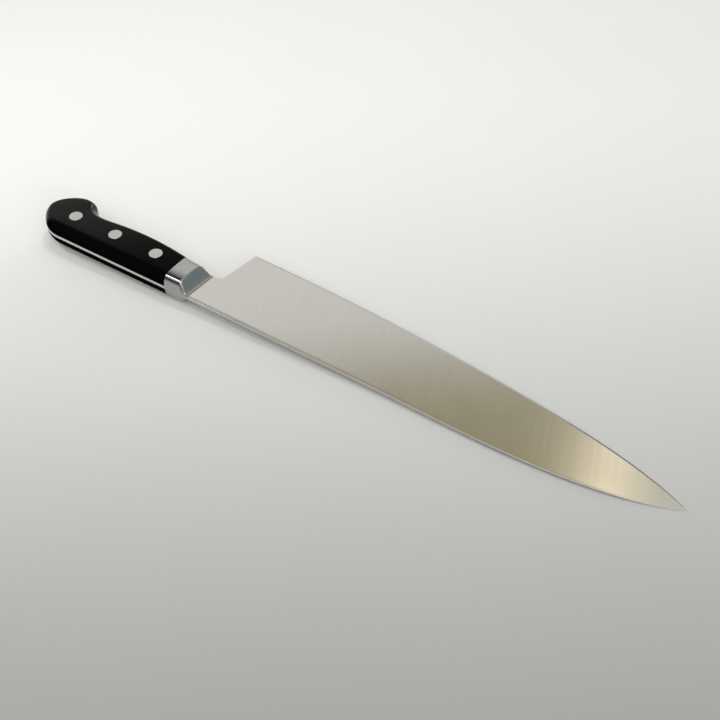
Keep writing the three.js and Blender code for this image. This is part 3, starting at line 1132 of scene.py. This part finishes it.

# %% [markdown]
# ## The floor's finish
# The floor is a plain pale board with a faint fine
# tooth, so that it takes the knife's shadow softly.
# Its colour is darkened from behind the knife towards us, a painted shade that stands in for the
# fall of the light.

# %% Material: floor
FLOOR_BACK = (-0.567, 0.823, 0.0)
FLOOR_SPAN = (-480.0, 220.0)
FLOOR_PAINTED_SHADE = (0.37, 0.37, 0.354)
FLOOR_PALE = (0.83, 0.826, 0.818)
FLOOR_LIGHT = (0.855, 0.851, 0.843)
UNSHADED = (1, 1, 1)

floor_pale, tree, shader, place = new_material("floor_pale_board")
tooth = noise(tree, place, scale=900.0, Detail=3.0)
patches = noise(tree, place, scale=9.0, Detail=2.0)
back = add_node(tree, "ShaderNodeVectorMath", {
    0: place, 1: FLOOR_BACK}, operation="DOT_PRODUCT").outputs["Value"]
start, end = (float(np.dot(heel_point, FLOOR_BACK)) + value * MM for value in FLOOR_SPAN)
board_colour = mixed_colour(tree, patches, FLOOR_PALE, FLOOR_LIGHT)
# Painted shade: the board's colour darkens towards us in place of the light's falloff.
shade = mixed_colour(tree, ramp(tree, back, start, end), FLOOR_PAINTED_SHADE, UNSHADED)
shaded_board = add_node(tree, "ShaderNodeMix", {
    0: 1.0, 6: board_colour, 7: shade}, data_type="RGBA", blend_type="MULTIPLY")
set_inputs(tree, shader, {
    "Base Color": shaded_board.outputs[2],
    "Roughness": spread(tree, tooth, 0.6, 0.75),
    "Specular IOR Level": 0.25,
    "Normal": bumped(tree, tooth, strength=0.15, distance=0.0001),
})
floor.data.materials.append(floor_pale)
print("material", floor_pale.name)

# %% [markdown]
# ## The light
# Two soft lamps give the shadows their directions.
# One hangs behind the knife and throws its shadow towards us.
# The other stands beyond the butt, on the spine's
# side, and throws the hook's shadow along the handle.
# The rest of the light comes from the room, which is the world shader below.
# Neither lamp shows in the steel.

# %% Hang the lamps


def hang_lamp(name, at, aim, size, watts):
    """A round soft lamp at one place, turned towards another."""
    lamp = bpy.data.objects.new(name, bpy.data.lights.new(name, "AREA"))
    lamp.data.shape = "DISK"
    lamp.data.size = size
    lamp.data.energy = watts
    lamp.location = to_frame(at)
    towards_aim = Vector(to_frame(aim)) - lamp.location
    lamp.rotation_euler = towards_aim.to_track_quat("-Z", "Y").to_euler()
    lamp.visible_glossy = False
    bpy.context.collection.objects.link(lamp)
    print(f"{name}: {watts} W, {towards_aim.length:.2f} m from where it points")


hang_lamp("back_lamp", at=(-76, 168, 560), aim=(-110, 150, 0), size=0.075, watts=0.46)
hang_lamp("butt_lamp", at=(-420, -80, 385), aim=(-110, 10, 0), size=0.05, watts=0.45)

# %% [markdown]
# ## The room
# Polished steel shows the room more than itself, so the world is painted as a simple room.
# A white wall stands behind the knife to the left, with a dark gap over it.
# Next to it hangs an olive board with one warm glow.
# Low down the room is slate grey, and darkest in front.
# A large pale window stands high over that and softens the shadows.
# A grey-green board beyond the tip tones the fillet at the foot of the bolster's slope.
# Small bright windows draw the white lines on the bolster's corners and in the hook.
# Each part is a mask on the direction that a ray leaves in.
# The camera itself sees a plain pale background.

# %% Masks for the room
OWN_SIDE = (0.0, 0.2)

world = bpy.data.worlds.new("room")
bpy.context.scene.world = world
world.use_nodes = True
room = world.node_tree
room.nodes.clear()
direction = add_node(room, "ShaderNodeTexCoord").outputs["Generated"]


def sine(degrees):
    return math.sin(math.radians(degrees))


def towards(turn, rise):
    """Unit direction, turned from the tip's side towards the edge's and raised, in degrees."""
    turn, rise = math.radians(turn), math.radians(rise)
    outwards = math.cos(rise)
    return Vector((math.cos(turn) * outwards, math.sin(turn) * outwards, math.sin(rise)))


def lean(axis):
    """How far each ray leans along an axis."""
    return add_node(room, "ShaderNodeVectorMath", {
        0: direction, 1: axis}, operation="DOT_PRODUCT").outputs["Value"]


ray_rise = lean(Vector((0, 0, 1)))


def by_rise(start, end):
    """0 where rays rise by the first angle, 1 where they rise by the second, in degrees."""
    return ramp(room, ray_rise, sine(start), sine(end))


def patch(turn, rise, width, height, softness):
    """An oval patch of the room, 1 in the middle and 0 past its edge. Sizes are half angles."""
    middle = towards(turn, rise)
    sideways = towards(turn + 90, 0)
    upwards = middle.cross(sideways)
    along = add_node(room, "ShaderNodeCombineXYZ", {
        "X": lean(sideways / sine(width)), "Y": lean(upwards / sine(height))})
    away = add_node(room, "ShaderNodeVectorMath", {0: along.outputs[0]}, operation="LENGTH")
    oval = ramp(room, away.outputs["Value"], 1.0, 1.0 - softness)
    return product(room, oval, ramp(room, lean(middle), *OWN_SIDE))


# %% Colours of the room
ROOM_LOW = (0.31, 0.375, 0.37)
ROOM_UPPER = (0.66, 0.665, 0.635)
ROOM_CEILING = (0.68, 0.68, 0.663)
ROOM_FRONT = (2.65, 2.65, 2.58)
LOW_FRONT = (0.3, 0.31, 0.31)
GREEN_GREY = (0.36, 0.4, 0.34)
OLIVE = (0.385, 0.345, 0.205)
GREY = (0.78, 0.79, 0.72)
WALL_WHITE = (0.93, 0.92, 0.9)
WALL_LOW = (0.72, 0.71, 0.68)
GLOW = (1.75, 1.54, 1.15)
SLATE = (0.07, 0.085, 0.1)
DARK = (0.03, 0.03, 0.035)
WINDOW = (8.0, 8.0, 8.0)
PALE = (0.93, 0.93, 0.93)
print("room from", ROOM_LOW, "at its foot to", ROOM_CEILING, "at its ceiling")

# %% [markdown]
# The parts are painted one over the other, so the order counts:
# first what is large and far, and the bright windows last.
# A patch is given by its turn, its rise, its half width
# and half height in degrees, and the softness of its edge.

# %% Paint the room
LOW_TO_UPPER = (18, 34)
UPPER_TO_CEILING = (56, 75)
WALL_TURN = 165
WALL_SIDE = (0.25, 0.62)
WALL_TOP = (45.4, 41.7)
WALL_FOOT = (38, 30)


def paint(under, patches):
    """Paints patches of the room one over the other."""
    for colour, *place in patches:
        under = painted_over(room, under, patch(*place), colour)
    return under


wall = ramp(room, lean(towards(WALL_TURN, 0)), *WALL_SIDE)
painted = painted_over(room, ROOM_LOW, by_rise(*LOW_TO_UPPER), ROOM_UPPER)
painted = painted_over(room, painted, by_rise(*UPPER_TO_CEILING), ROOM_CEILING)
painted = paint(painted, [
    (ROOM_FRONT, 300, 52, 38, 20, 0.6),  # large window in front
    (LOW_FRONT, 285, 12, 62, 16, 0.5),  # darker part under that window
    (GREEN_GREY, 56, 38, 32, 20, 0.4),  # grey-green board
    (OLIVE, 116, 50, 15, 9, 0.5),  # olive board
])
painted = painted_over(room, painted, product(room, wall, by_rise(*WALL_TOP)), WALL_WHITE)
painted = painted_over(room, painted, product(room, wall, by_rise(*WALL_FOOT)), WALL_LOW)
painted = paint(painted, [
    (SLATE, 180, 54, 31, 10, 0.25),  # gap over the wall
    (GREY, 97, 50.5, 6, 8, 0.4),  # pale grey that the tip mirrors
    (GLOW, 106.6, 48.6, 2, 9, 0.8),  # warm glow on the olive board
    (DARK, 234, 17, 12, 11, 0.4),  # dark line along the bolster's shoulder
    (DARK, 95, 30, 11, 5, 0.5),  # dark line along the bevel
    (WINDOW, 220, 44, 4.4, 4.4, 0.4),  # white line along the bolster's shoulder
    (WINDOW, -30, 21, 13, 9, 0.5),  # white line down the corner of the slope
    (WINDOW, 88, 16, 13, 11, 0.7),  # gleam in the hook
])
print("room painted with", len(room.nodes), "nodes")

# %% Show the pale background to the camera
path = add_node(room, "ShaderNodeLightPath")
seen_room = add_node(room, "ShaderNodeBackground", {"Color": painted, "Strength": 1.0})
seen_plain = add_node(room, "ShaderNodeBackground", {"Color": (*PALE, 1), "Strength": 1.0})
choice = add_node(room, "ShaderNodeMixShader", {
    0: path.outputs["Is Camera Ray"], 1: seen_room.outputs[0], 2: seen_plain.outputs[0]})
add_node(room, "ShaderNodeOutputWorld", {"Surface": choice.outputs[0]})
print("the camera sees a plain pale background")

# %% [markdown]
# ## Put the pieces together
# Every piece gets its finish and rides on the knife's one body, and its solid is hidden under it.

# %% Finish every piece
finished = [(blade, blade_satin, "blade_steel", "blade")]
finished += [(piece, bolster_bright, "bolster_steel", node) for node, piece in bolsters.items()]
finished += [(piece, scale_black, "scale_black", node) for node, piece in scales.items()]
finished += [(piece, rivet_satin, "rivet_metal", node) for node, piece in rivets.items()]
for piece, finish, slot, node in finished:
    piece.data.materials.clear()
    piece.data.materials.append(finish)
    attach(piece, "root")
    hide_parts(node)
print("finished", len(finished), "pieces")
